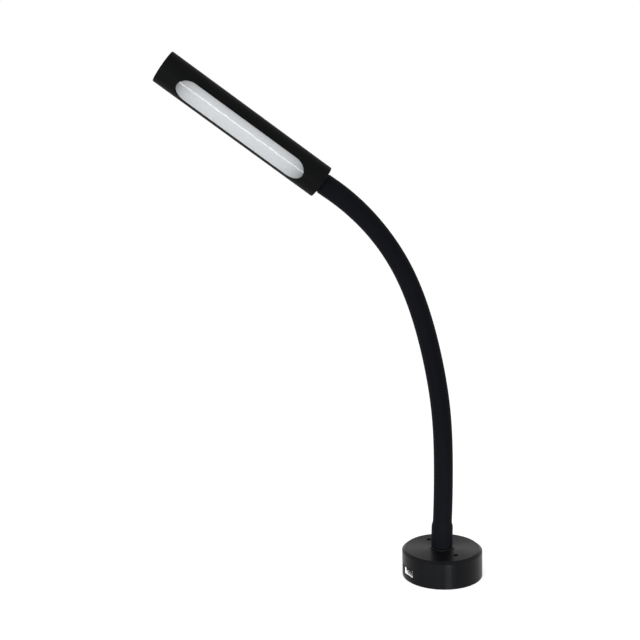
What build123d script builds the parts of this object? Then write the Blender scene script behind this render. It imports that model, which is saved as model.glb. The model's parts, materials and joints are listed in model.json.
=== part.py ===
"""Gooseneck desk lamp: weighted round base, sleeved flexible arm and a tubular LED head.

Millimetres. The origin is the centre of the base's underside, +Z is up, and the arm leans towards -X.
The base pieces are drawn with the socket panel facing -X and are then turned by base_turn about Z.
The head pieces are drawn with the neck end at Z = 0, the tip towards +Z and the window towards +X.
"""

import os
from math import acos, cos, degrees, radians, sin, sqrt, tan

from build123d import *

# ---- fits ----
slip_gap = 0.1          # piece that slides over or into another at assembly
panel_gap = 0.15        # moulded piece in a cut-out
screw_gap = 0.25        # radial clearance round a screw
overshoot = 1.0         # cuts run this far past the face that they open
ball_gap = 0.3          # between the rounded ends of neighbouring arm lengths

# ---- base shell ----
base_radius = 40.0
base_height = 27.8
base_wall = 3.0
base_top = 4.5
base_edge_in = 2.9      # chamfer of the top edge, inwards
base_edge_down = 2.3    # chamfer of the top edge, downwards
base_turn = 20.0        # turn of the socket panel from the arm's plane, degrees
foot_height = 0.3       # gap under the shell, left by the rubber pad

# ---- underside ----
plate_thickness = 3.0
plate_ledge = 1.1       # width of the shell's ledge that the plate seats on
pad_margin = 1.5        # metal left round the pad
pad_recess = 0.8        # the pad sits this deep in the plate

# ---- screws through the base ----
mount_circle = 48.5     # diameter of the circle of the two mounting holes
mount_angles = (90.0, -90.0)
mount_hole = 4.5        # diameter of the mounting holes
mount_edge = 0.5        # chamfer round the mounting holes
plate_screw = 4.0       # thread diameter
plate_screw_head = 7.5
plate_screw_socket = 2.5
plate_screw_circle = 43.0
plate_screw_angles = (40.0, 110.0, -110.0, -40.0)
plate_screw_depth = 3.2  # thread length in the shell's top

# ---- counterweight ----
weight_gap = 0.4
weight_bore = 24.0
pocket_width = 34.0
pocket_start = -5.0     # the electronics pocket runs from here to the wall
inlet_pocket_width = 12.0
inlet_pocket_gap = 2.0  # free length behind the inlet
inlet_pocket_top = 14.5
lead_channel_width = 4.0
lead_channel_top = 10.5

# ---- side panel ----
panel_low = 4.7
panel_high = 14.6
panel_half_angle = 22.0
panel_skin = 2.2
panel_depth = 5.1
panel_lip = 1.1         # flange that holds the panel inside the wall
panel_rim = 1.2         # wall round the panel's hollow back, above and below
panel_side_rim = 0.6

# ---- charging socket ----
port_width = 13.2
port_height = 5.8
port_length = 14.0
port_sheet = 0.35
port_flare = 0.65
port_flare_length = 0.8
port_corner = 0.8       # outer corner radius of the shell
flare_corner = 1.3      # and of its flared mouth
port_recess = 0.9       # the mouth lies this far inside the base radius
core_length = 3.0
core_gap = 0.2          # leaves room for the shell's rounded corners
tongue_width = 11.1
tongue_thickness = 1.84
tongue_gap = 2.8        # free height under the tongue
tongue_setback = 0.7
contact_width = 1.0
contact_length = 7.5
contact_setback = 1.0
contact_thickness = 0.25
contact_pitches = (-3.5, -1.0, 1.0, 3.5)

# ---- push button ----
button_web = 0.6        # panel left between the socket and the button
button_radius = 2.0
button_flange = 2.3
button_flange_thickness = 0.8
button_cap_length = 5.3
button_stem_radius = 1.2
button_travel = 1.0
plunger_radius = 1.7
plunger_length = 2.8
button_stem_length = 2.9
switch_size = 6.0
switch_depth = 3.6
plunger_showing = 1.2   # of the plunger, in front of the switch

# ---- driver board ----
board_thickness = 1.6
board_back = -8.2
board_margin = 2.6      # between the board and the wall
board_half_width = 15.5
board_post = 2.6
board_screw = 2.5
board_screw_bite = 1.0   # thread length in the plate
board_screw_head = 4.4
board_screw_place = (-11.0, 12.5)
board_screw_head_height = 1.6
choke = (5.1, -9.0, 2.8, 4.2)           # each: behind the socket, across, radius, height
tall_capacitor = (6.1, 9.5, 2.5, 8.0)
short_capacitor = (3.1, 5.2, 2.0, 5.5)
chip_start = 4.6        # behind the socket
chip_length = 3.0
chip_width = 5.0
chip_height = 1.4
terminal_length = 4.2
terminal_sides = (-6.0, 4.0)
terminal_height = 6.6

# ---- low-voltage inlet ----
inlet_hole = 8.2
inlet_nose = 8.0
inlet_nose_root = 2.0
inlet_socket = 6.4
inlet_socket_depth = 9.5
inlet_pin_diameter = 2.0
inlet_pin_length = 8.5
inlet_body_width = 10.5
inlet_body_length = 13.0
inlet_lead_radius = 1.2
inlet_lead_place = -3.8
inlet_lead_level = 8.2

# ---- arm, all lengths of it ----
sleeve_outer = 9.3
hose_outer = 5.4
hose_bore = 3.3
lead_outer = 2.3
swing = 20.0            # most that one joint of the arm turns each way, degrees
rim_land = 0.1          # flat left round the hollow of a length's lower end
link_length = 50.1
link_straight = 10.0    # straight stretch at each end of a length
first_joint = 66.0      # height of the lowest joint
link_turns = (-3.5, 9.5, 4.5, 6.0, 10.0, 14.0, 12.0)

# ---- arm foot ----
ring_radius = 12.2
ring_thickness = 1.4
stem_radius = 6.0
stem_bore = 3.2
stem_tail = 2.7         # of the stem, below its nut
stem_cup_radius = 8.6
stem_cup_top = 47.5
stem_cup_floor = 36.0
stem_cup_edge = 1.0
sleeve_taper = 3.0      # from the cup's width to the sleeve's bore
nut_flats = 19.0
nut_thickness = 5.0
collar_outer = 10.4
collar_top = 49.5
collar_shoulder = 55.5
lead_tail_radius = 6.0  # bend of the lead below the stem

# ---- head ----
head_length = 178.5
head_radius = 16.1
head_wall = 1.6
head_joint_gap = 13.4   # from the last joint to the head's neck face
cap_face = 2.0
cap_edge = 0.5
cap_spigot_wall = 1.6
neck_cap_depth = 10.0
neck_web = 3.5
neck_boss_radius = 9.7
neck_boss_length = 2.4
neck_screw_radius = 1.5
neck_screw_length = 3.0
neck_screw_place = 8.2
neck_screw_socket = 0.85
neck_screw_socket_depth = 1.5
ferrule_radius = 7.5
ferrule_end = 12.0
ferrule_flange = 8.8
ferrule_flange_thickness = 1.4
ferrule_nut_flats = 20.0
ferrule_nut_thickness = 3.0
hose_in_head = 8.0
tip_cap_depth = 8.0
window_turn = 65.2      # turn of the window from straight down towards -Y, degrees
window_width = 19.9
window_neck_inset = 19.2  # from the neck end to the window
window_tip_inset = 20.4
window_end = 13.5        # length of each of its rounded ends
diffuser_thickness = 2.0
diffuser_setback = 0.3
diffuser_margin = 3.0
tray_level = -4.0       # front of the tray's web, across the head
tray_sheet = 1.2
tray_inset = 0.6        # the tray's edges stop this far from the tube's inner wall
tray_notch = 8.0
tray_notch_end = 14.0
tray_flange_half = 9.5
rail_depth = 2.0
rail_thickness = 1.2
strip_width = 10.0
strip_thickness = 1.0
strip_start = 16.0
strip_tip_inset = 15.0
strip_screw_insets = (9.5, 8.0)   # of the strip's screws, from its neck end and its tip end
strip_screw_head_height = 1.3
led_width = 2.8
led_length = 3.5
led_height = 0.8
led_pitch = 6.0
led_clearance = 1.2      # between the last chips and the strip's screws
lead_block_start = 17.5
lead_block_length = 4.5
lead_block_half = 3.5
lead_block_lid = 0.3     # of the terminal, over the lead

# ---- worked out from the above ----
plate_bottom = foot_height
plate_top = plate_bottom + plate_thickness
plate_face = plate_bottom + pad_recess
cavity_radius = base_radius - base_wall
cavity_top = base_height - base_top
plate_radius = cavity_radius + plate_ledge - slip_gap
pad_radius = plate_radius - pad_margin
port_level = (panel_low + panel_high) / 2
board_top = port_level - port_height / 2
board_bottom = board_top - board_thickness
board_reach = cavity_radius - board_margin
port_mouth = -(base_radius - port_recess)
port_back = port_mouth + port_length
button_offset = port_width / 2 + port_flare + slip_gap + button_web + panel_gap + button_radius
button_flange_place = base_radius - button_cap_length
plunger_place = button_flange_place - button_flange_thickness - button_stem_length
switch_front = plunger_place - plunger_showing
inlet_level = plate_top + inlet_body_width / 2
inlet_back = cavity_radius - inlet_body_length
inlet_pocket_start = inlet_back - inlet_pocket_gap
ring_top = base_height + ring_thickness
stem_bottom = cavity_top - nut_thickness - stem_tail
lead_tail_level = stem_bottom - lead_tail_radius
sleeve_bore = hose_outer + slip_gap
head_bore = head_radius - head_wall
tray_back = tray_level - tray_sheet
tray_edge = sqrt(head_bore**2 - tray_back**2) - tray_inset
tray_start = neck_cap_depth + slip_gap
tray_end = head_length - tip_cap_depth - cap_face - slip_gap
window_length = head_length - window_neck_inset - window_tip_inset
window_centre = window_neck_inset + window_length / 2
strip_end = head_length - strip_tip_inset
strip_screw_places = (strip_start + strip_screw_insets[0], strip_end - strip_screw_insets[1])
strip_level = tray_level + strip_thickness
diffuser_outer = head_bore - slip_gap
diffuser_inner = diffuser_outer - diffuser_thickness
LOW = (Align.CENTER, Align.CENTER, Align.MIN)


def block(x0, x1, y0, y1, z0, z1):
    """A box given by its limits along X, Y and Z."""
    centre = ((x0 + x1) / 2, (y0 + y1) / 2, (z0 + z1) / 2)
    return Pos(*centre) * Box(x1 - x0, y1 - y0, z1 - z0)


def rod(radius, z0, z1, x=0.0, y=0.0):
    """An upright cylinder between two heights."""
    return Pos(x, y, z0) * Cylinder(radius, z1 - z0, align=LOW)


def tube(outer, bore, z0, z1):
    """An upright tube between two heights."""
    return rod(outer, z0, z1) - rod(bore, z0, z1)


def rod_along_x(radius, x0, x1, y=0.0, z=0.0):
    """A cylinder along X between two places."""
    return Pos(x0, y, z) * Rot(0, 90, 0) * Cylinder(radius, x1 - x0, align=LOW)


def turned(points):
    """A turned piece: the closed outline through (radius, height) points, revolved about Z."""
    return revolve(Plane.XZ * make_face(Polyline(*points, close=True)), Axis.Z)


def sector(inner, outer, z0, z1, half_angle):
    """A stretch of a ring, centred on -X, between two heights."""
    reach = 2 * outer
    edge = (-reach * cos(radians(half_angle)), reach * sin(radians(half_angle)))
    wedge = make_face(Polyline((0, 0), edge, (edge[0], -edge[1]), close=True))
    return tube(outer, inner, z0, z1) & (Pos(0, 0, z0) * extrude(wedge, z1 - z0))


def on_circle(diameter, angle):
    """The place at an angle on a circle round the base's axis."""
    return diameter / 2 * cos(radians(angle)), diameter / 2 * sin(radians(angle))


mount_places = [on_circle(mount_circle, angle) for angle in mount_angles]
plate_screw_places = [on_circle(plate_screw_circle, angle) for angle in plate_screw_angles]


# ======== base ========
def base_housing():
    """Turned steel shell: chamfered top edge, ledge for the plate, cut-outs for panel, inlet and stem."""
    shell = turned([
        (0, cavity_top), (cavity_radius, cavity_top), (cavity_radius, plate_top),
        (cavity_radius + plate_ledge, plate_top), (cavity_radius + plate_ledge, foot_height),
        (base_radius, foot_height), (base_radius, base_height - base_edge_down),
        (base_radius - base_edge_in, base_height), (0, base_height),
    ])
    shell -= rod(stem_radius + slip_gap, cavity_top, base_height)
    for x, y in mount_places:
        shell -= rod(mount_hole / 2, cavity_top, base_height, x, y)
        shell -= Pos(x, y, base_height - mount_edge) * Cone(
            mount_hole / 2, mount_hole / 2 + mount_edge, mount_edge, align=LOW)
    for x, y in plate_screw_places:
        shell -= rod(plate_screw / 2, cavity_top, cavity_top + plate_screw_depth, x, y)
    shell -= sector(cavity_radius - base_wall, base_radius + base_wall,
                    panel_low, panel_high, panel_half_angle)
    shell -= rod_along_x(inlet_hole / 2, cavity_radius - base_wall, base_radius + base_wall, z=inlet_level)
    return shell


def base_plate():
    """Round steel plate with a recess for the pad, countersinks and two posts for the driver board."""
    plate = rod(plate_radius, plate_bottom, plate_top)
    plate -= rod(pad_radius + slip_gap, plate_bottom, plate_face)
    for x, y in mount_places:
        plate -= rod(mount_hole / 2, plate_bottom, plate_top, x, y)
    for x, y in plate_screw_places:
        plate -= rod(plate_screw / 2 + screw_gap, plate_bottom, plate_top, x, y)
        plate -= screw_head(plate_screw + 2 * screw_gap, plate_screw_head + 2 * screw_gap, x, y)
    for y in (-board_screw_place[1], board_screw_place[1]):
        x = board_screw_place[0]
        plate += rod(board_post, plate_top, board_bottom, x, y)
        plate -= rod(board_screw / 2, plate_top - board_screw_bite, board_bottom, x, y)
    return plate


def screw_head(shank, head, x, y):
    """Countersunk head that opens downwards at the plate's underside."""
    depth = (head - shank) / 2
    return Pos(x, y, plate_face) * Cone(head / 2, shank / 2, depth, align=LOW)


def foot_pad():
    """Rubber pad in the plate's recess; it is what the lamp stands on."""
    pad = rod(pad_radius, 0, plate_face)
    for x, y in mount_places:
        pad -= rod(mount_hole / 2 + screw_gap, 0, plate_face, x, y)
    return pad


def plate_screws():
    """Long countersunk screws that clamp plate and counterweight to the shell's top."""
    screws = []
    for x, y in plate_screw_places:
        screw = rod(plate_screw / 2 - slip_gap / 2, plate_face, cavity_top + plate_screw_depth - slip_gap, x, y)
        screw += screw_head(plate_screw, plate_screw_head, x, y)
        screw -= Pos(x, y, plate_face) * extrude(RegularPolygon(plate_screw_socket / 2, 6), plate_screw_socket / 2)
        screws.append(screw)
    return screws


def counterweight():
    """Steel block that fills the base, open where the electronics, the inlet and the stem go."""
    weight = rod(cavity_radius - weight_gap, plate_top, cavity_top)
    weight -= rod(weight_bore / 2, plate_top, cavity_top)
    weight -= block(-base_radius, pocket_start, -pocket_width / 2, pocket_width / 2, plate_top, cavity_top)
    weight -= block(inlet_pocket_start, base_radius, -inlet_pocket_width / 2, inlet_pocket_width / 2,
                    plate_top, inlet_pocket_top)
    weight -= block(0, inlet_pocket_start, inlet_lead_place - lead_channel_width / 2,
                    inlet_lead_place + lead_channel_width / 2, plate_top, lead_channel_top)
    for x, y in mount_places:
        weight -= rod(mount_hole / 2 + screw_gap, plate_top, cavity_top, x, y)
    for x, y in plate_screw_places:
        weight -= rod(plate_screw / 2 + screw_gap, plate_top, cavity_top, x, y)
    return weight


def socket_panel():
    """Moulded panel, flush in the wall, held by a lip inside it, with the socket and button openings."""
    low = panel_low + panel_gap
    high = panel_high - panel_gap
    side = degrees(panel_gap / base_radius)
    inner = base_radius - panel_depth
    lip_radius = cavity_radius - slip_gap
    rim_angle = degrees(panel_side_rim / base_radius)
    lip_angle = degrees(panel_lip / base_radius)
    panel = sector(inner, base_radius, low, high, panel_half_angle - side)
    panel += sector(inner, lip_radius, low - panel_lip, high + panel_lip, panel_half_angle + lip_angle)
    panel -= sector(inner, base_radius - panel_skin, low + panel_rim, high - panel_rim,
                    panel_half_angle - rim_angle)
    reach = base_radius + port_flare
    half = port_width / 2 + slip_gap
    tall = port_height / 2 + slip_gap
    panel -= block(-reach, -inner / 2, -half, half, port_level - tall, port_level + tall)
    flare_back = base_radius - port_recess - port_flare_length - slip_gap
    half += port_flare
    tall += port_flare
    panel -= block(-reach, -flare_back, -half, half, port_level - tall, port_level + tall)
    panel -= rod_along_x(button_radius + panel_gap, -reach, -inner / 2, button_offset, port_level)
    return panel


def usb_shell():
    """Folded metal shell of the charging socket, flared at its mouth and closed at its back."""
    level = Plane(origin=(port_mouth, 0, port_level), x_dir=(0, 1, 0), z_dir=(1, 0, 0))
    outer = level * extrude(RectangleRounded(port_width, port_height, port_corner), port_length)
    lip = loft([
        level * RectangleRounded(port_width + 2 * port_flare, port_height + 2 * port_flare, flare_corner),
        level.offset(port_flare_length) * RectangleRounded(port_width, port_height, port_corner),
    ])
    wide = port_width - 2 * port_sheet
    tall = port_height - 2 * port_sheet
    corner = port_corner - port_sheet
    inner = level * extrude(RectangleRounded(wide, tall, corner), port_length - port_sheet)
    mouth_cut = loft([
        level * RectangleRounded(wide + 2 * port_flare, tall + 2 * port_flare, flare_corner - port_sheet),
        level.offset(port_flare_length) * RectangleRounded(wide, tall, corner),
    ])
    return outer + lip - inner - mouth_cut


def usb_tongue():
    """Moulded core of the socket: a block at the back and the tongue that carries the contacts."""
    back = port_back - port_sheet
    floor = port_level - port_height / 2 + port_sheet
    ceiling = port_level + port_height / 2 - port_sheet
    half = port_width / 2 - port_sheet - core_gap
    core = block(back - core_length, back, -half, half, floor + core_gap, ceiling - core_gap)
    core += block(port_mouth + tongue_setback, back, -tongue_width / 2, tongue_width / 2,
                  floor + tongue_gap, floor + tongue_gap + tongue_thickness)
    return core


def usb_contacts():
    """Four flat springs under the tongue."""
    top = port_level - port_height / 2 + port_sheet + tongue_gap
    start = port_mouth + tongue_setback + contact_setback
    return [block(start, start + contact_length, y - contact_width / 2, y + contact_width / 2, top - contact_thickness, top)
            for y in contact_pitches]


def power_button():
    """Push button: cap flush with the curved panel, flange behind it and a stem to the switch."""
    cap = rod_along_x(button_radius, -base_radius, -button_flange_place, button_offset, port_level)
    cap &= rod(base_radius - slip_gap, panel_low, panel_high)
    flange_end = -button_flange_place + button_flange_thickness
    flange = rod_along_x(button_flange, -button_flange_place, flange_end, button_offset, port_level)
    stem = rod_along_x(button_stem_radius, flange_end, -plunger_place, button_offset, port_level)
    return cap + flange + stem


def switch_plunger():
    """Plunger of the switch, pushed by the button's stem."""
    return rod_along_x(plunger_radius, -plunger_place, -plunger_place + plunger_length,
                       button_offset, port_level)


def button_switch():
    """Small board switch that the button works, with the bore that its plunger sinks into."""
    half = switch_size / 2
    body = block(-switch_front, -switch_front + switch_depth, button_offset - half, button_offset + half,
                 board_top, port_level + half)
    bore_end = -plunger_place + plunger_length + button_travel + slip_gap
    body -= rod_along_x(plunger_radius + slip_gap, -switch_front, bore_end, button_offset, port_level)
    return body


def driver_board():
    """Circuit board on the plate's posts, rounded to the base's inside at its front."""
    board = block(-base_radius, board_back, -board_half_width, board_half_width, board_bottom, board_top)
    board &= rod(board_reach, board_bottom, board_top)
    for y in (-board_screw_place[1], board_screw_place[1]):
        board -= rod(board_screw / 2 + slip_gap, board_bottom, board_top, board_screw_place[0], y)
    return board


def standing_part(part):
    """A round part on the driver board: place behind the socket and across, radius and height."""
    behind, across, radius, height = part
    return rod(radius, board_top, board_top + height, port_back + behind, across)


def driver_parts():
    """What stands on the driver board: choke, two capacitors, driver chip and the terminal of both leads."""
    chip_front = port_back + chip_start
    chip = block(chip_front, chip_front + chip_length, -chip_width / 2, chip_width / 2,
                 board_top, board_top + chip_height)
    terminal = block(board_back - terminal_length, board_back, *terminal_sides,
                     board_top, board_top + terminal_height)
    return [standing_part(choke), standing_part(tall_capacitor), standing_part(short_capacitor), chip, terminal]


def board_screws():
    """Two screws that hold the driver board on its posts."""
    screws = []
    for y in (-board_screw_place[1], board_screw_place[1]):
        x = board_screw_place[0]
        screw = rod(board_screw / 2 - slip_gap / 2, plate_top - board_screw_bite, board_top, x, y)
        screws.append(screw + rod(board_screw_head / 2, board_top,
                                  board_top + board_screw_head_height, x, y))
    return screws


def inlet_body():
    """Moulded low-voltage inlet behind the rear wall, with its round nose flush in the wall."""
    half = inlet_body_width / 2
    body = block(inlet_back, cavity_radius - slip_gap, -half, half, inlet_level - half, inlet_level + half)
    body &= rod(cavity_radius - slip_gap, 0, base_height)
    nose = rod_along_x(inlet_nose / 2, cavity_radius - inlet_nose_root, base_radius + overshoot, z=inlet_level)
    body += nose & rod(base_radius, 0, base_height)
    mouth = base_radius - inlet_socket_depth
    return body - rod_along_x(inlet_socket / 2, mouth, base_radius + overshoot, z=inlet_level)


def inlet_pin():
    """Centre pin of the inlet."""
    floor = base_radius - inlet_socket_depth
    return rod_along_x(inlet_pin_diameter / 2, floor, floor + inlet_pin_length, z=inlet_level)


def inlet_lead():
    """Cable from the inlet to the driver board's terminal."""
    return rod_along_x(inlet_lead_radius, board_back, inlet_back, inlet_lead_place, inlet_lead_level)


# ======== foot of the arm ========
def arm_ring():
    """Thin turned ring between the base and the arm, with an eased upper edge."""
    ease = ring_thickness / 2
    return turned([
        (stem_radius + slip_gap, base_height), (ring_radius, base_height), (ring_radius, ring_top - ease),
        (ring_radius - ease, ring_top), (stem_radius + slip_gap, ring_top),
    ])


def arm_stem():
    """Turned stem: threaded below, with a cup above that holds the hose."""
    return turned([
        (stem_bore, stem_bottom), (stem_radius, stem_bottom), (stem_radius, ring_top),
        (stem_cup_radius, ring_top), (stem_cup_radius, stem_cup_top - stem_cup_edge),
        (stem_cup_radius - stem_cup_edge, stem_cup_top),
        (sleeve_bore, stem_cup_top), (sleeve_bore, stem_cup_floor), (stem_bore, stem_cup_floor),
    ])


def stem_nut():
    """Hexagon nut under the shell's top."""
    nut = extrude(RegularPolygon(nut_flats / 2, 6, major_radius=False), nut_thickness)
    return Pos(0, 0, cavity_top - nut_thickness) * nut - rod(stem_radius, stem_bottom, cavity_top)


# ======== arm lengths ========
def ball_profile(outer, bore, inner_part):
    """Half outline of an upper end: straight wall, dome about the joint, flared bore for what swings in it."""
    top = (0, link_straight + outer)
    if not bore:
        edges = [Line((0, 0), (outer, 0)), Line((outer, 0), (outer, link_straight)),
                 RadiusArc((outer, link_straight), top, -outer), Line(top, (0, 0))]
        return make_face(edges)
    slope = tan(radians(swing))
    start = inner_part / cos(radians(swing)) + ball_gap
    root = (start * slope) ** 2 - (1 + slope**2) * (start**2 - outer**2)
    rise = (sqrt(root) - start * slope) / (1 + slope**2)
    lip = (start + rise * slope, link_straight + rise)
    flare = (bore, link_straight + (bore - start) / slope)
    edges = [Line((bore, 0), (outer, 0)), Line((outer, 0), (outer, link_straight)),
             RadiusArc((outer, link_straight), lip, -outer), Line(lip, flare), Line(flare, (bore, 0))]
    return make_face(edges)


def cup_profile(outer, bore):
    """Half outline of a lower end: wall hollowed out round the dome of the length below."""
    hollow = outer + ball_gap
    rim = sqrt(hollow**2 - (outer - rim_land) ** 2)
    low_inner = (outer - rim_land, rim)
    top_inner = (bore, sqrt(hollow**2 - bore**2))
    edges = [Line((outer, rim), low_inner), RadiusArc(low_inner, top_inner, -hollow),
             Line(top_inner, (bore, link_straight)), Line((bore, link_straight), (outer, link_straight)),
             Line((outer, link_straight), (outer, rim))]
    return make_face(edges)


def ball_end(outer, bore, inner_part):
    """Upper end of a length, standing on Z = 0, with its joint at link_straight."""
    return revolve(Plane.XZ * ball_profile(outer, bore, inner_part), Axis.Z)


def cup_end(outer, bore):
    """Lower end of a length, with its joint at the origin."""
    return revolve(Plane.XZ * cup_profile(outer, bore), Axis.Z)


def joint_frames():
    """The joints' frames along the arm: Z along the arm, X in its plane, so that it leans towards -X."""
    frames = []
    place = Vector(0, 0, first_joint)
    lean = 0.0
    for turn in (*link_turns, None):
        along = Vector(-sin(radians(lean)), 0, cos(radians(lean)))
        across = Vector(cos(radians(lean)), 0, sin(radians(lean)))
        frames.append(Plane(origin=place, x_dir=across, z_dir=along))
        if turn is not None:
            place = frames[-1].from_local_coords(link_end(turn))
            lean += turn
    return frames


def bend_radius(turn):
    """Radius of a length's bend, negative where it leans the other way."""
    return (link_length - 2 * link_straight) / radians(turn)


def bend_end(turn):
    """Where the bend of a length ends, in the frame of its lower joint."""
    radius = bend_radius(turn)
    return Vector(-radius * (1 - cos(radians(turn))), 0, link_straight + radius * sin(radians(turn)))


def link_end(turn):
    """Where the upper joint of a length is, in the frame of its lower joint."""
    return bend_end(turn) + Vector(-sin(radians(turn)), 0, cos(radians(turn))) * link_straight


def bend(outer, bore, turn):
    """The bent middle of a length."""
    section = Circle(outer) - Circle(bore) if bore else Circle(outer)
    side = 1 if turn > 0 else -1
    pivot = Axis((-bend_radius(turn), 0, link_straight), (0, -side, 0))
    return revolve(Pos(0, 0, link_straight) * section, pivot, abs(turn))


def arm_length(outer, bore, inner_part, turn):
    """One length of hose, sleeve or lead between two joints."""
    end = Plane(origin=bend_end(turn), x_dir=(cos(radians(turn)), 0, sin(radians(turn))),
                z_dir=(-sin(radians(turn)), 0, cos(radians(turn))))
    return cup_end(outer, bore) + bend(outer, bore, turn) + end * ball_end(outer, bore, inner_part)


ARM_LAYERS = {
    "arm_sleeve": (sleeve_outer, sleeve_bore, hose_outer),
    "arm_hose": (hose_outer, hose_bore, lead_outer),
    "arm_lead": (lead_outer, 0.0, 0.0),
}


def foot_end(layer):
    """Upper end of the lowest length of a layer, under the first joint."""
    return Pos(0, 0, first_joint - link_straight) * ball_end(*ARM_LAYERS[layer])


def sleeve_foot():
    """Lowest sleeve length: stretched over the stem's cup, with a soft shoulder above it."""
    cup_wall = stem_cup_radius + slip_gap
    foot_seam = first_joint - link_straight
    shoulder = Spline((collar_outer, collar_top), (sleeve_outer, collar_shoulder), tangents=[(0, 1), (0, 1)])
    below = Polyline(
        (sleeve_outer, collar_shoulder), (sleeve_outer, foot_seam), (sleeve_bore, foot_seam),
        (sleeve_bore, stem_cup_top + sleeve_taper), (cup_wall, stem_cup_top), (cup_wall, ring_top),
        (collar_outer, ring_top), (collar_outer, collar_top))
    return revolve(Plane.XZ * make_face([shoulder, below]), Axis.Z) + foot_end("arm_sleeve")


def hose_foot():
    """Lowest hose length, standing in the stem's cup."""
    return tube(hose_outer, hose_bore, stem_cup_floor, first_joint - link_straight) + foot_end("arm_hose")


def lead_foot():
    """Lowest lead length: out of the stem and round to the driver board's terminal."""
    lead = rod(lead_outer, stem_bottom, first_joint - link_straight)
    centre = Axis((-lead_tail_radius, 0, stem_bottom), (0, 1, 0))
    lead += revolve(Pos(0, 0, stem_bottom) * Circle(lead_outer), centre, 90)
    lead += rod_along_x(lead_outer, board_back, -lead_tail_radius, z=lead_tail_level)
    return lead + foot_end("arm_lead")


def head_end(layer, length):
    """Last length of a layer, from the last joint into the head."""
    outer, bore, _ = ARM_LAYERS[layer]
    middle = tube(outer, bore, link_straight, length) if bore else rod(outer, link_straight, length)
    return cup_end(outer, bore) + middle


# ======== head ========
def window_prism(margin):
    """Straight cut of the window's outline, widened by a margin, towards +X."""
    level = Plane(origin=(0, 0, window_centre), x_dir=(0, 0, 1), z_dir=(1, 0, 0))
    end = window_end + margin
    straight = window_length - 2 * window_end
    outline = Rectangle(straight, window_width + 2 * margin)
    for side in (-1, 1):
        outline += Pos(side * straight / 2, 0) * Ellipse(end, window_width / 2 + margin)
    return level * extrude(outline, head_radius + base_wall)


def head_tube():
    """Extruded tube with two pairs of rails for the tray, the milled window and the neck screw's hole."""
    body = tube(head_radius, head_bore, cap_face, head_length - cap_face)
    rail_inner = tray_edge - rail_depth
    for low in (tray_level + slip_gap, tray_back - slip_gap - rail_thickness):
        high = low + rail_thickness
        rails = block(low, high, -head_radius, head_radius, tray_start, tray_end)
        rails -= block(low, high, -rail_inner, rail_inner, tray_start, tray_end)
        body += rails & rod(head_radius - head_wall / 2, tray_start, tray_end)
    body -= rod_along_x(neck_screw_radius, -head_radius - overshoot, -head_bore + overshoot, z=neck_screw_place)
    return body - window_prism(0)


def cap_spigot(z0, z1):
    """Ring of an end cap that goes into the tube."""
    outer = head_bore - slip_gap
    return tube(outer, outer - cap_spigot_wall, z0, z1)


def neck_cap():
    """Turned plug of the head's neck end with the boss that the arm runs into."""
    hole = ferrule_radius + slip_gap
    seat = ferrule_flange + slip_gap
    cap = turned([
        (hole, -neck_boss_length), (neck_boss_radius, -neck_boss_length), (neck_boss_radius, 0),
        (head_radius - cap_edge, 0), (head_radius, cap_edge), (head_radius, cap_face),
        (head_bore - slip_gap, cap_face), (head_bore - slip_gap, neck_web), (hole, neck_web),
    ])
    cap -= rod(seat, -neck_boss_length, ferrule_flange_thickness - neck_boss_length)
    cap += cap_spigot(neck_web, neck_cap_depth)
    return cap - rod_along_x(neck_screw_radius, -head_radius, -head_radius / 2, z=neck_screw_place)


def neck_screw():
    """Set screw through tube and plug, with a hexagon socket."""
    place = -head_radius + slip_gap
    screw = rod_along_x(neck_screw_radius - slip_gap / 2, place, place + neck_screw_length, z=neck_screw_place)
    socket = Plane(origin=(place, 0, neck_screw_place), x_dir=(0, 1, 0), z_dir=(1, 0, 0))
    return screw - socket * extrude(RegularPolygon(neck_screw_socket, 6), neck_screw_socket_depth)


def head_ferrule():
    """Turned ferrule that grips the hose in the neck plug."""
    return turned([
        (stem_bore, hose_in_head), (sleeve_bore, hose_in_head), (sleeve_bore, -neck_boss_length),
        (ferrule_flange, -neck_boss_length), (ferrule_flange, ferrule_flange_thickness - neck_boss_length),
        (ferrule_radius, ferrule_flange_thickness - neck_boss_length), (ferrule_radius, ferrule_end),
        (stem_bore, ferrule_end),
    ])


def ferrule_nut():
    """Hexagon nut on the ferrule, inside the plug."""
    nut = extrude(RegularPolygon(ferrule_nut_flats / 2, 6, major_radius=False), ferrule_nut_thickness)
    return Pos(0, 0, neck_web) * nut - rod(ferrule_radius, 0, ferrule_end)


def tip_cap():
    """Plug of the head's free end."""
    face = head_length - cap_face
    disc = turned([
        (0, face), (head_radius, face), (head_radius, head_length - cap_edge),
        (head_radius - cap_edge, head_length), (0, head_length),
    ])
    return disc + cap_spigot(face - tip_cap_depth, face)


def diffuser():
    """Opal strip inside the tube with a raised pad that fills the window."""
    half = window_width / 2 + diffuser_margin
    low = window_centre - window_length / 2 - diffuser_margin
    high = window_centre + window_length / 2 + diffuser_margin
    strip = tube(diffuser_outer, diffuser_inner, low, high) & block(0, head_radius, -half, half, low, high)
    pad = tube(head_radius - diffuser_setback, diffuser_inner, low, high) & window_prism(-panel_gap)
    return strip + pad


def led_tray():
    """Folded aluminium tray in the tube's rails; its flanges back the diffuser."""
    tip = sqrt((diffuser_inner - slip_gap) ** 2 - tray_flange_half**2)
    inner = tray_flange_half - tray_sheet
    tray = block(tray_back, tray_level, -tray_edge, tray_edge, tray_start, tray_end)
    tray += block(tray_back, tip, inner, tray_flange_half, tray_start, tray_end)
    tray += block(tray_back, tip, -tray_flange_half, -inner, tray_start, tray_end)
    tray -= block(tray_back, tray_level, -tray_notch, tray_notch, tray_start, tray_notch_end)
    for place in strip_screw_places:
        tray -= rod_along_x(board_screw / 2, tray_back, tray_level, z=place)
    return tray


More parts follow.
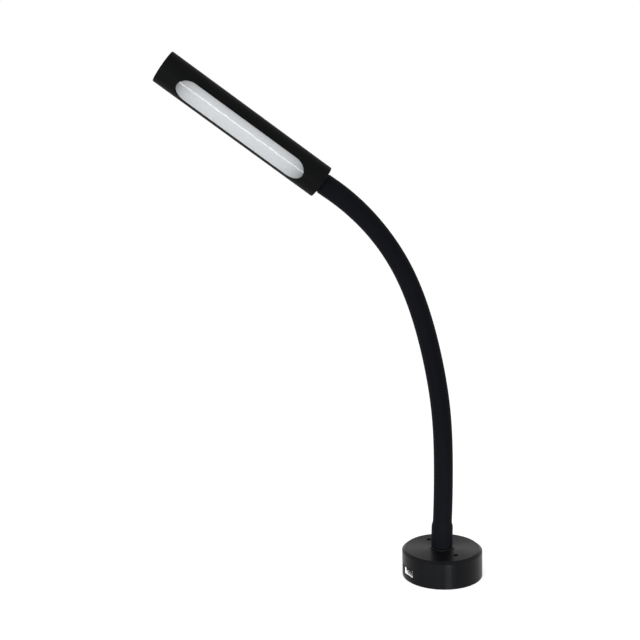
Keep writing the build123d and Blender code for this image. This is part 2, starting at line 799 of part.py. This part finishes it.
def led_board():
    """Metal-core strip board on the tray."""
    half = strip_width / 2
    board = block(tray_level, strip_level, -half, half, strip_start, strip_end)
    for place in strip_screw_places:
        board -= rod_along_x(board_screw / 2 + slip_gap, tray_level, strip_level, z=place)
    return board


def led_chips():
    """Row of light-emitting diodes on the strip board."""
    low, high = strip_screw_places
    room = high - low - board_screw_head - led_length - 2 * led_clearance
    led_count = int(room / led_pitch) + 1
    first = (low + high - led_pitch * (led_count - 1)) / 2
    places = [first + led_pitch * i for i in range(led_count)]
    return [block(strip_level, strip_level + led_height, -led_width / 2, led_width / 2,
                  place - led_length / 2, place + led_length / 2) for place in places]


def strip_screws():
    """Two screws that hold the strip board on the tray."""
    screws = []
    for place in strip_screw_places:
        screw = rod_along_x(board_screw / 2 - slip_gap / 2, tray_back, strip_level, z=place)
        screws.append(screw + rod_along_x(board_screw_head / 2, strip_level,
                                          strip_level + strip_screw_head_height, z=place))
    return screws


def lead_block():
    """Terminal on the strip board that the lead ends in."""
    return block(strip_level, lead_outer + lead_block_lid, -lead_block_half, lead_block_half,
                 lead_block_start, lead_block_start + lead_block_length)


# ======== the lamp ========
def together(shapes):
    """Several solids as one shape."""
    return Compound(list(shapes))


BASE = {
    "base_housing": base_housing(),
    "base_plate": base_plate(),
    "foot_pad": foot_pad(),
    "plate_screws": together(plate_screws()),
    "counterweight": counterweight(),
    "socket_panel": socket_panel(),
    "usb_shell": usb_shell(),
    "usb_tongue": usb_tongue(),
    "usb_contacts": together(usb_contacts()),
    "power_button": power_button(),
    "switch_plunger": switch_plunger(),
    "button_switch": button_switch(),
    "driver_board": driver_board(),
    "driver_parts": together(driver_parts()),
    "board_screws": together(board_screws()),
    "inlet_body": inlet_body(),
    "inlet_pin": inlet_pin(),
    "inlet_lead": inlet_lead(),
    "arm_lead_0": lead_foot(),
}

ARM_FOOT = {
    "arm_ring": arm_ring(),
    "arm_stem": arm_stem(),
    "stem_nut": stem_nut(),
    "arm_sleeve_0": sleeve_foot(),
    "arm_hose_0": hose_foot(),
}

HEAD = {
    "head_tube": head_tube(),
    "neck_cap": neck_cap(),
    "neck_screw": neck_screw(),
    "head_ferrule": head_ferrule(),
    "ferrule_nut": ferrule_nut(),
    "tip_cap": tip_cap(),
    "diffuser": diffuser(),
    "led_tray": led_tray(),
    "led_board": led_board(),
    "led_chips": together(led_chips()),
    "strip_screws": together(strip_screws()),
    "lead_block": lead_block(),
}

HEAD_ENDS = {
    "arm_sleeve": head_joint_gap - neck_boss_length,
    "arm_hose": head_joint_gap + hose_in_head,
    "arm_lead": head_joint_gap + lead_block_start,
}

frames = joint_frames()
window_way = Vector(0, -1, 0) * sin(radians(window_turn)) - frames[-1].x_dir * cos(radians(window_turn))
head_frame = Plane(origin=frames[-1].from_local_coords(Vector(0, 0, head_joint_gap)),
                   x_dir=window_way, z_dir=frames[-1].z_dir)

nodes = {name: Rot(0, 0, base_turn) * shape for name, shape in BASE.items()}
nodes |= ARM_FOOT
for layer, (outer, bore, inner_part) in ARM_LAYERS.items():
    for number, turn in enumerate(link_turns, 1):
        nodes[f"{layer}_{number}"] = frames[number - 1] * arm_length(outer, bore, inner_part, turn)
    nodes[f"{layer}_{len(link_turns) + 1}"] = frames[-1] * head_end(layer, HEAD_ENDS[layer])
nodes |= {name: head_frame * shape for name, shape in HEAD.items()}

os.makedirs("parts", exist_ok=True)
for name, shape in nodes.items():
    export_step(shape, f"parts/{name}.step")
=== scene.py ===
"""Gooseneck desk lamp: its finishes, the arm's smooth one-piece sleeve and the studio round it.

Metres, +Z up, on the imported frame. The arm leans towards -X, the window faces -Y and down.
"""

import json
from math import cos, pi, radians, sin

import bpy
import numpy as np
from mathutils import Matrix, Quaternion, Vector


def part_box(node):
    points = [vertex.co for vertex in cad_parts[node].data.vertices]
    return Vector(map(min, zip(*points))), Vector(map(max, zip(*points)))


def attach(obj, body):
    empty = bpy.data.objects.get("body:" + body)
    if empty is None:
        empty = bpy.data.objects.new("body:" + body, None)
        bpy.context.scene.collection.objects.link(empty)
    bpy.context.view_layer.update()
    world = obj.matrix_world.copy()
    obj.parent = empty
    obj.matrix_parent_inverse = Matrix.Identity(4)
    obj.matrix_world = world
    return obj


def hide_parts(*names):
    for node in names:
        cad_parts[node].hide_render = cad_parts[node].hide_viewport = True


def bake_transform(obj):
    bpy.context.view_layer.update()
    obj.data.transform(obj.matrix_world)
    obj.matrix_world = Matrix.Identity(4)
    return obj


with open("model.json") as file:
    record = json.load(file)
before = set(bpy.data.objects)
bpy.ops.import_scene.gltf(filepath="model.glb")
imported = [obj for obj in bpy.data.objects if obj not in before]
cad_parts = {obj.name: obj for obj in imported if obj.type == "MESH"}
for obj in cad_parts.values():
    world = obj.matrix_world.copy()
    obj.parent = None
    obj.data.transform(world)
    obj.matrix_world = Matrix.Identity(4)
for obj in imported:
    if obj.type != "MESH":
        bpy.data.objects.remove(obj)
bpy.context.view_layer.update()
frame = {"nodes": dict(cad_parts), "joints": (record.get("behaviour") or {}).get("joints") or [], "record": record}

# ---- camera ----
camera_place = Vector((-0.21514, -0.93981, 0.41252))
camera_heading = radians(6.0)       # from +Y towards +X
camera_pitch = radians(8.909)       # below the horizon
camera_roll = radians(-1.712)
focal_pixels = 1000.0
picture_pixels = 640.0
sensor_width = 36.0

# ---- sleeve ----
sleeve_radius = 0.00947
sleeve_bore = 0.0066
collar_radius = 0.01062
collar_edge = 0.0005        # rounding of the collar's lower rim
rim_rows = (0.0, 0.08, 0.25, 0.55)  # heights of the rows on that rim, as shares of it
collar_height = 0.0203      # above the ring
shoulder_height = 0.0263
cup_radius = 0.0087         # bore of the collar, over the stem's cup
cup_height = 0.0183
first_seam = 0.0228         # height of the seam between the collar's piece and the next
head_swell = 0.0007         # the sleeve is this much thicker at the head
swell_length = 0.09
# the loose sleeve's shift towards +X at each joint
sleeve_slack = (0.0012, 0.0008, 0.0002, 0.0004, 0.0004, 0.0006, 0.0006, 0.0004)
last_half_bend = 0.011      # half the stretch that bends at the head's joint
row_step = 0.0012
sleeve_sides = 96
way_step = 0.25 * row_step  # half the length over which the axis's direction is taken

# ---- diffuser ----
window_turn = radians(65.2)         # from straight down within the arm's plane towards -Y
window_half_length = 0.0695
window_half_width = 0.00995
painted_end_shade = (0.75, 0.009)           # painted shade at the diffuser's ends: how much darker they are painted, and how far in that reaches
# painted shade along the diffuser's upper edge: how much darker it is painted, and how far in that reaches
painted_top_shade = (0.33, 0.0028)

# ---- creases ----
cad_crease = radians(30.0)          # edges sharper than this aren't smoothed
sleeve_crease = radians(40.0)

# ---- studio ----
surroundings_level = 0.47
floor_half_width = 20.0
floor_grey = 0.8
floor_lift = 0.65                   # the floor's own glow

nodes = frame["nodes"]
hinges = [joint for joint in frame["joints"] if joint["type"] == "hinge"]
joint_places = np.array([joint["pos_m"] for joint in hinges])


# ======== node helpers ========
def new_material(name):
    """An empty node material and its Principled shader."""
    material = bpy.data.materials.new(name)
    material.use_nodes = True
    return material, material.node_tree.nodes["Principled BSDF"]


def add_node(tree, kind, **values):
    """A node with its attributes set."""
    node = tree.nodes.new(kind)
    for name, value in values.items():
        setattr(node, name, value)
    return node


def calculate(tree, operation, *values):
    """A math node on sockets or numbers; returns its output."""
    node = add_node(tree, "ShaderNodeMath", operation=operation)
    for socket, value in zip(node.inputs, values):
        if isinstance(value, bpy.types.NodeSocket):
            tree.links.new(value, socket)
        else:
            socket.default_value = value
    return node.outputs[0]


def scaled(tree, colour, factor):
    """The colour of one socket times the value of another."""
    node = add_node(tree, "ShaderNodeVectorMath", operation="SCALE")
    tree.links.new(colour, node.inputs[0])
    tree.links.new(factor, node.inputs["Scale"])
    return node.outputs[0]


def noise(tree, places, scale, detail):
    """A noise texture, with sockets for its places and scale; returns its value."""
    texture = add_node(tree, "ShaderNodeTexNoise")
    texture.inputs["Detail"].default_value = detail
    tree.links.new(places, texture.inputs["Vector"])
    tree.links.new(scale, texture.inputs["Scale"])
    return texture.outputs["Fac"]


# ======== materials ========
def finish_group():
    """Node group: a slow mottle in colour and roughness, and a fine grain as a bumped normal."""
    group = bpy.data.node_groups.new("fine_finish", "ShaderNodeTree")
    for name, kind, value in (
        ("Colour", "NodeSocketColor", (0.02, 0.02, 0.02, 1.0)),
        ("Mottle Amount", "NodeSocketFloat", 0.15),
        ("Mottle Scale", "NodeSocketFloat", 40.0),
        ("Grain Scale", "NodeSocketFloat", 2500.0),
        ("Roughness", "NodeSocketFloat", 0.4),
        ("Roughness Swing", "NodeSocketFloat", 0.06),
        ("Bump Height", "NodeSocketFloat", 0.00002),
        ("Bump Strength", "NodeSocketFloat", 0.3),
    ):
        socket = group.interface.new_socket(name, in_out="INPUT", socket_type=kind)
        socket.default_value = value
    for name, kind in (
        ("Colour", "NodeSocketColor"),
        ("Roughness", "NodeSocketFloat"),
        ("Normal", "NodeSocketVector"),
    ):
        group.interface.new_socket(name, in_out="OUTPUT", socket_type=kind)
    given = add_node(group, "NodeGroupInput").outputs
    result = add_node(group, "NodeGroupOutput").inputs
    places = add_node(group, "ShaderNodeTexCoord").outputs["Object"]
    mottle = noise(group, places, given["Mottle Scale"], detail=3.0)
    grain = noise(group, places, given["Grain Scale"], detail=2.0)
    swing = calculate(group, "SUBTRACT", mottle, 0.5)
    lighter = calculate(group, "MULTIPLY_ADD", swing, given["Mottle Amount"], 1.0)
    rough = calculate(group, "MULTIPLY_ADD", swing, given["Roughness Swing"], given["Roughness"])
    bump = add_node(group, "ShaderNodeBump")
    link = group.links.new
    link(grain, bump.inputs["Height"])
    link(given["Bump Height"], bump.inputs["Distance"])
    link(given["Bump Strength"], bump.inputs["Strength"])
    link(scaled(group, given["Colour"], lighter), result["Colour"])
    link(rough, result["Roughness"])
    link(bump.outputs["Normal"], result["Normal"])
    return group


FINE_FINISH = finish_group()


def finished(name, colour, roughness, metallic=0.0, specular=0.5, tint=(1.0, 1.0, 1.0), **finish):
    """A material whose colour, roughness and grain come from the fine finish group."""
    material, shader = new_material(name)
    tree = material.node_tree
    group = add_node(tree, "ShaderNodeGroup", node_tree=FINE_FINISH)
    group.inputs["Colour"].default_value = (*colour, 1.0)
    group.inputs["Roughness"].default_value = roughness
    for key, value in finish.items():
        group.inputs[key.replace("_", " ").title()].default_value = value
    tree.links.new(group.outputs["Colour"], shader.inputs["Base Color"])
    tree.links.new(group.outputs["Roughness"], shader.inputs["Roughness"])
    tree.links.new(group.outputs["Normal"], shader.inputs["Normal"])
    shader.inputs["Metallic"].default_value = metallic
    shader.inputs["Specular IOR Level"].default_value = specular
    shader.inputs["Specular Tint"].default_value = (*tint, 1.0)
    return material


def turned(material, amount, turn=0.25):
    """Fine turning marks round the vertical axis, which draw a highlight out along the wall's height."""
    tree = material.node_tree
    shader = tree.nodes["Principled BSDF"]
    shader.inputs["Anisotropic"].default_value = amount
    shader.inputs["Anisotropic Rotation"].default_value = turn
    round_axis = add_node(tree, "ShaderNodeTangent", direction_type="RADIAL", axis="Z")
    tree.links.new(round_axis.outputs["Tangent"], shader.inputs["Tangent"])
    return material


def distance_along(tree, places, way, centre):
    """How far the socket's place lies from the centre along a way."""
    dot = add_node(tree, "ShaderNodeVectorMath", operation="DOT_PRODUCT")
    dot.inputs[1].default_value = way
    tree.links.new(places, dot.inputs[0])
    return calculate(tree, "SUBTRACT", dot.outputs["Value"], way.dot(centre))


def painted_edge_shade(tree, distance, amount, reach):
    """1 - amount * exp(-distance / reach): a painted shade that darkens the colour near an edge."""
    power = calculate(tree, "EXPONENT", calculate(tree, "DIVIDE", distance, -reach))
    return calculate(tree, "SUBTRACT", 1.0, calculate(tree, "MULTIPLY", power, amount))


def opal():
    """The diffuser: satin opal plastic, with painted shade darkening its colour towards both ends and along its
    upper edge.
    """
    material = finished(
        "opal_diffuser", (0.71, 0.735, 0.755), 0.1,
        mottle_amount=0.03, grain_scale=80.0, bump_height=0.0004, bump_strength=1.0)
    tree = material.node_tree
    base_colour = tree.nodes["Principled BSDF"].inputs["Base Color"]
    head_across = Vector(hinges[-1]["axis"])
    head_way = Vector((-head_across.z, 0.0, head_across.x))
    upward = sin(window_turn) * head_across + Vector((0.0, -cos(window_turn), 0.0))
    low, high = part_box("diffuser")
    centre = (low + high) / 2
    places = add_node(tree, "ShaderNodeTexCoord").outputs["Object"]
    from_centre = calculate(tree, "ABSOLUTE", distance_along(tree, places, head_way, centre))
    to_end = calculate(tree, "SUBTRACT", window_half_length, from_centre)
    to_top = calculate(tree, "SUBTRACT", window_half_width, distance_along(tree, places, upward, centre))
    # painted shade: the colour is darkened near the window's ends and its upper edge
    light = calculate(tree, "MULTIPLY", painted_edge_shade(tree, to_end, *painted_end_shade), painted_edge_shade(tree, to_top, *painted_top_shade))
    tree.links.new(scaled(tree, base_colour.links[0].from_socket, light), base_colour)
    return material


# by record slot; the colour and the roughness come first
MATERIALS = {
    "shell_black": turned(finished(
        "satin_black_paint", (0.0018, 0.0018, 0.002), 0.38,
        specular=0.12, tint=(0.9, 0.93, 1.0), bump_strength=0.1), amount=0.85),
    "plate_steel": finished("zinc_steel", (0.45, 0.45, 0.44), 0.42, metallic=1.0, mottle_amount=0.4),
    "pad_rubber": finished("pad_rubber", (0.01, 0.01, 0.01), 0.85, specular=0.2, bump_strength=0.8),
    "screw_steel": finished("black_screws", (0.05, 0.05, 0.052), 0.38, metallic=1.0),
    "panel_black": finished(
        "panel_plastic", (0.003, 0.003, 0.003), 0.5, specular=0.1, bump_strength=0.6),
    "port_metal": finished(
        "port_plating", (0.95, 0.95, 0.95), 0.45, metallic=0.4, bump_strength=0.05),
    "port_core": finished("port_core", (0.01, 0.01, 0.01), 0.5, specular=0.2),
    "contact_brass": finished("gilt_contacts", (0.85, 0.62, 0.28), 0.25, metallic=1.0),
    "switch_plastic": finished("switch_plastic", (0.03, 0.03, 0.03), 0.5, specular=0.3),
    "board_green": finished("solder_mask", (0.01, 0.09, 0.04), 0.3, mottle_amount=0.3),
    "board_parts": finished("board_parts", (0.03, 0.03, 0.032), 0.45),
    "lead_black": finished("lead_jacket", (0.015, 0.015, 0.015), 0.5),
    "turned_steel": finished("turned_steel", (0.6, 0.6, 0.61), 0.3, metallic=1.0),
    "sleeve_rubber": finished(
        "soft_sleeve", (0.0062, 0.0066, 0.0088), 0.6, specular=0.03, bump_strength=0.35),
    "hose_steel": finished("wound_steel", (0.5, 0.5, 0.51), 0.35, metallic=1.0),
    "head_black": finished(
        "anodised_black", (0.0065, 0.0068, 0.0068), 0.5, specular=0.03, bump_strength=0.25),
    "diffuser_opal": opal(),
    "tray_aluminium": finished("mill_aluminium", (0.82, 0.82, 0.83), 0.35, metallic=1.0),
    "led_yellow": finished("phosphor", (0.85, 0.7, 0.2), 0.4),
}


def dress_cad_nodes():
    """Each CAD node takes the material of its record slot."""
    slots = {part["node"]: part["material_slot"] for part in frame["record"]["subparts"]}
    for name, piece in nodes.items():
        piece.data.materials.clear()
        piece.data.materials.append(MATERIALS[slots[name]])
        piece.data.shade_smooth()
        piece.data.set_sharp_from_angle(angle=cad_crease)


# ======== the sleeve ========
def link_object(name, mesh, slot):
    """A mesh as an object at the origin, with the material of a record slot."""
    mesh.validate()
    mesh.materials.append(MATERIALS[slot])
    mesh.shade_smooth()
    mesh.set_sharp_from_angle(angle=sleeve_crease)
    piece = bpy.data.objects.new(name, mesh)
    bpy.context.scene.collection.objects.link(piece)
    return piece


def grid_mesh(name, places):
    """A closed surface from a grid of places (rows, columns, 3); rows and columns both run round.

    The normal of each quad is the way along the columns crossed with the way along the rows.
    """
    rows, columns, _ = places.shape
    row = np.arange(rows)[:, None]
    column = np.arange(columns)[None, :]
    next_row = (row + 1) % rows
    next_column = (column + 1) % columns
    quads = np.stack([
        row * columns + column,
        row * columns + next_column,
        next_row * columns + next_column,
        next_row * columns + column,
    ], axis=-1)
    mesh = bpy.data.meshes.new(name)
    mesh.from_pydata(places.reshape(-1, 3).tolist(), [], quads.reshape(-1, 4).tolist())
    return mesh


def smooth_step(value):
    """0 below 0, 1 above 1, and the cubic 3v^2 - 2v^3 between."""
    value = np.clip(value, 0.0, 1.0)
    return value**2 * (3 - 2 * value)


def clamped_spline(places, first_way, last_way):
    """The smooth cubic curve through places that leaves along first_way and arrives along last_way.

    Its parameter is the length along the chords. The second derivatives at the places come from the
    usual three-term equations. Returns the places' parameters and the function from parameter to place.
    """
    steps = np.linalg.norm(np.diff(places, axis=0), axis=1)
    knots = np.concatenate([[0.0], np.cumsum(steps)])
    slopes = np.diff(places, axis=0) / steps[:, None]
    matrix = np.zeros((len(places), len(places)))
    index = np.arange(1, len(places) - 1)
    matrix[index, index - 1] = steps[:-1]
    matrix[index, index] = 2 * (steps[:-1] + steps[1:])
    matrix[index, index + 1] = steps[1:]
    matrix[0, :2] = 2 * steps[0], steps[0]
    matrix[-1, -2:] = steps[-1], 2 * steps[-1]
    turns = 6 * np.vstack([slopes[:1] - first_way, np.diff(slopes, axis=0), last_way - slopes[-1:]])
    second = np.linalg.solve(matrix, turns)

    def at(length):
        cell = np.clip(np.searchsorted(knots, length, side="right") - 1, 0, len(steps) - 1)
        step = steps[cell][:, None]
        after = (length - knots[cell])[:, None]
        before = step - after
        bend = (second[cell] * before**3 + second[cell + 1] * after**3) / (6 * step)
        chord = ((places[cell] / step - second[cell] * step / 6) * before
                 + (places[cell + 1] / step - second[cell + 1] * step / 6) * after)
        return bend + chord

    return knots, at


def sleeve_outline(length, total):
    """The sleeve's outer radius along its length: collar with a rounded rim, shoulder, slight swell."""
    shoulder = smooth_step((length - collar_height) / (shoulder_height - collar_height))
    swell = smooth_step((length - total + swell_length) / swell_length)
    rim = np.clip(collar_edge - length, 0.0, collar_edge)
    rounding = collar_edge - np.sqrt(collar_edge**2 - rim**2)
    return collar_radius + (sleeve_radius - collar_radius) * shoulder + head_swell * swell - rounding


def sleeve_inside(length):
    """The sleeve's bore along its length: wide over the stem's cup, narrow above it."""
    narrowing = smooth_step((length - cup_height) / (first_seam - cup_height))
    return cup_radius + (sleeve_bore - cup_radius) * narrowing


def sleeve_piece(name, centre, total, low, high):
    """A stretch of the sleeve between two lengths along its axis.

    The profile goes up along the outside, in at the top, down along the bore and out at the bottom.
    Each profile point (radius r, length s) becomes the circle centre(s) + r (cos a N + sin a B), where B
    is +Y, and N is the horizontal way across the axis within the arm's plane, leaning with the axis.
    """
    up = np.linspace(low, high, int((high - low) / row_step) + 2)
    if low == 0.0:
        up = np.concatenate([collar_edge * np.array(rim_rows), up[1:]])
    lengths = np.concatenate([up, up[::-1]])
    radii = np.concatenate([sleeve_outline(up, total), sleeve_inside(up[::-1])])
    middle = centre(lengths)
    way = centre(lengths + way_step) - centre(lengths - way_step)
    way /= np.linalg.norm(way, axis=1)[:, None]
    across = np.stack([way[:, 2], np.zeros(len(way)), -way[:, 0]], axis=1)
    angle = np.linspace(0.0, 2 * pi, sleeve_sides, endpoint=False)
    ring = np.cos(angle)[None, :, None] * across[:, None, :]
    ring[:, :, 1] += np.sin(angle)[None, :]
    places = middle[:, None, :] + radii[:, None, None] * ring
    return link_object(name, grid_mesh(name, places), "sleeve_rubber")


def sleeve():
    """The one-piece sleeve, in stretches that run from the middle of one length to the middle of the next.

    Each stretch follows the curve through its joint; only the collar's stretch is attached to a body, the base.
    """
    foot = np.array([0.0, 0.0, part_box("arm_ring")[1].z])
    head_across = hinges[-1]["axis"]
    head_way = np.array([-head_across[2], 0.0, head_across[0]])
    head_face = joint_places[-1] + last_half_bend * head_way
    places = np.vstack([foot, joint_places, head_face])
    places[1:-1, 0] += sleeve_slack
    knots, centre = clamped_spline(places, np.array([0.0, 0.0, 1.0]), head_way)
    total = knots[-1]
    seams = [0.0, first_seam, *(knots[1:-2] + knots[2:-1]) / 2, total]
    foot_piece = sleeve_piece("sleeve_0", centre, total, *seams[:2])
    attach(foot_piece, "base")
    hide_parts("arm_sleeve_0")
    for number, hinge in enumerate(hinges, 1):
        low, high = seams[number], seams[number + 1]
        piece = sleeve_piece(f"sleeve_{number}", centre, total, low, high)
        half = min(knots[number] - low, high - knots[number])
        start, end = centre(knots[number] + np.array([-half, half]))
        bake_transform(piece)
        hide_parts(f"arm_sleeve_{number}")


# ======== studio ========
def seen_directly(tree):
    """1 for camera, glossy and transmission rays, which all see the plain white surroundings."""
    path = add_node(tree, "ShaderNodeLightPath").outputs
    seen = path["Is Camera Ray"]
    for name in ("Is Glossy Ray", "Is Transmission Ray"):
        seen = calculate(tree, "MAXIMUM", seen, path[name])
    return seen


def make_world():
    """White surroundings that light the object softly."""
    world = bpy.data.worlds.new("studio")
    world.use_nodes = True
    tree = world.node_tree
    background = tree.nodes["Background"]
    background.inputs["Color"].default_value = (1.0, 1.0, 1.0, 1.0)
    strength = add_node(tree, "ShaderNodeMapRange")
    strength.inputs["To Min"].default_value = surroundings_level
    strength.inputs["To Max"].default_value = 1.0
    tree.links.new(seen_directly(tree), strength.inputs["Value"])
    tree.links.new(strength.outputs["Result"], background.inputs["Strength"])
    bpy.context.scene.world = world


def make_floor():
    """Plain white floor: it takes the lamp's shadow, and its own glow carries it to white."""
    material, shader = new_material("floor")
    tree = material.node_tree
    shader.inputs["Base Color"].default_value = (floor_grey, floor_grey, floor_grey, 1.0)
    shader.inputs["Roughness"].default_value = 1.0
    shader.inputs["Specular IOR Level"].default_value = 0.0
    shader.inputs["Emission Color"].default_value = (1.0, 1.0, 1.0, 1.0)
    glow = calculate(tree, "MULTIPLY", seen_directly(tree), floor_lift)
    tree.links.new(glow, shader.inputs["Emission Strength"])
    corners = [
        (x * floor_half_width, y * floor_half_width, 0.0)
        for x, y in ((-1, -1), (1, -1), (1, 1), (-1, 1))]
    mesh = bpy.data.meshes.new("floor")
    mesh.from_pydata(corners, [], [(0, 1, 2, 3)])
    mesh.materials.append(material)
    floor = bpy.data.objects.new("floor", mesh)
    bpy.context.scene.collection.objects.link(floor)


def softbox(name, place, target, width, height, power, turn=0.0, beam=pi):
    """A rectangular lamp that faces a point, turned about its own axis; power in watts."""
    light = bpy.data.lights.new(name, "AREA")
    light.shape = "RECTANGLE"
    light.size = width
    light.size_y = height
    light.energy = power
    light.spread = beam
    lamp = bpy.data.objects.new(name, light)
    lamp.location = place
    lamp.rotation_mode = "QUATERNION"
    facing = (Vector(target) - Vector(place)).to_track_quat("-Z", "Y")
    lamp.rotation_quaternion = facing @ Quaternion((0.0, 0.0, 1.0), turn)
    bpy.context.scene.collection.objects.link(lamp)


def make_lights():
    """Two soft lamps for the whole object, and two whose mirror images draw a highlight."""
    softbox(
        "key", place=(-1.3, -1.1, 0.7), target=(-0.1, 0.0, 0.25), width=0.9, height=0.9, power=8.1)
    softbox(
        "fill", place=(1.2, -0.9, 0.8), target=(-0.1, 0.0, 0.2), width=0.8, height=1.0, power=0.8)
    # the upright band on the base's wall
    softbox(
        "base front", place=(0.1, -1.2, 0.15), target=(0.0, 0.0, -0.03), width=0.6, height=0.15,
        power=0.25, beam=radians(20.0))
    # the bright line along the diffuser
    softbox(
        "head strip", place=(-0.399, -0.84, 0.158), target=(-0.1836, -0.0153, 0.446), width=0.13,
        height=0.46, power=1.3, turn=radians(52.5))


def make_camera():
    """The camera, from its place, heading, pitch and roll."""
    ahead = Vector((
        sin(camera_heading) * cos(camera_pitch),
        cos(camera_heading) * cos(camera_pitch),
        -sin(camera_pitch)))
    right = Vector((cos(camera_heading), -sin(camera_heading), 0.0))
    up = right.cross(ahead)
    rolled_right = right * cos(camera_roll) + up * sin(camera_roll)
    rolled_up = up * cos(camera_roll) - right * sin(camera_roll)
    data = bpy.data.cameras.new("camera")
    data.sensor_width = sensor_width
    data.lens = focal_pixels / picture_pixels * sensor_width
    camera = bpy.data.objects.new("camera", data)
    turn = Matrix((rolled_right, rolled_up, -ahead)).transposed()
    camera.matrix_world = Matrix.Translation(camera_place) @ turn.to_4x4()
    bpy.context.scene.collection.objects.link(camera)
    bpy.context.scene.camera = camera


make_camera()
make_world()
make_floor()
make_lights()
dress_cad_nodes()
sleeve()

scene = bpy.context.scene
scene.view_settings.view_transform = "Standard"
